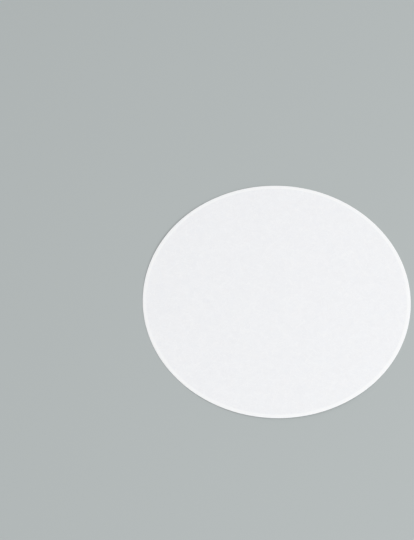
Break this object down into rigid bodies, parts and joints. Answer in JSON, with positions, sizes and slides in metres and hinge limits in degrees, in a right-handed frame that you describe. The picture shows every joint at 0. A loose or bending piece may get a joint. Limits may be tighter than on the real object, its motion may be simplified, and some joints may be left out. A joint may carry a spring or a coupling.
{
  "type": "filter paper disc",
  "caption": "Flat round sheet of white filter paper, punched to a circle, laid in a funnel or dish to hold back solids while a liquid runs through.",
  "frame": {"origin": "centre of the disc, on the surface that the sheet lies on", "axes": "+Z is the sheet's normal, up through its punched face; X and Y lie in the sheet, which is round, so their turn about Z is free"},
  "size_m": [0.11, 0.11, 0.0002],
  "materials": {
    "paper": "matt, uncoated, lightly fibrous, slightly see-through"
  },
  "bodies": {
    "root": {"paper_disc": "paper"}
  },
  "joints": []
}
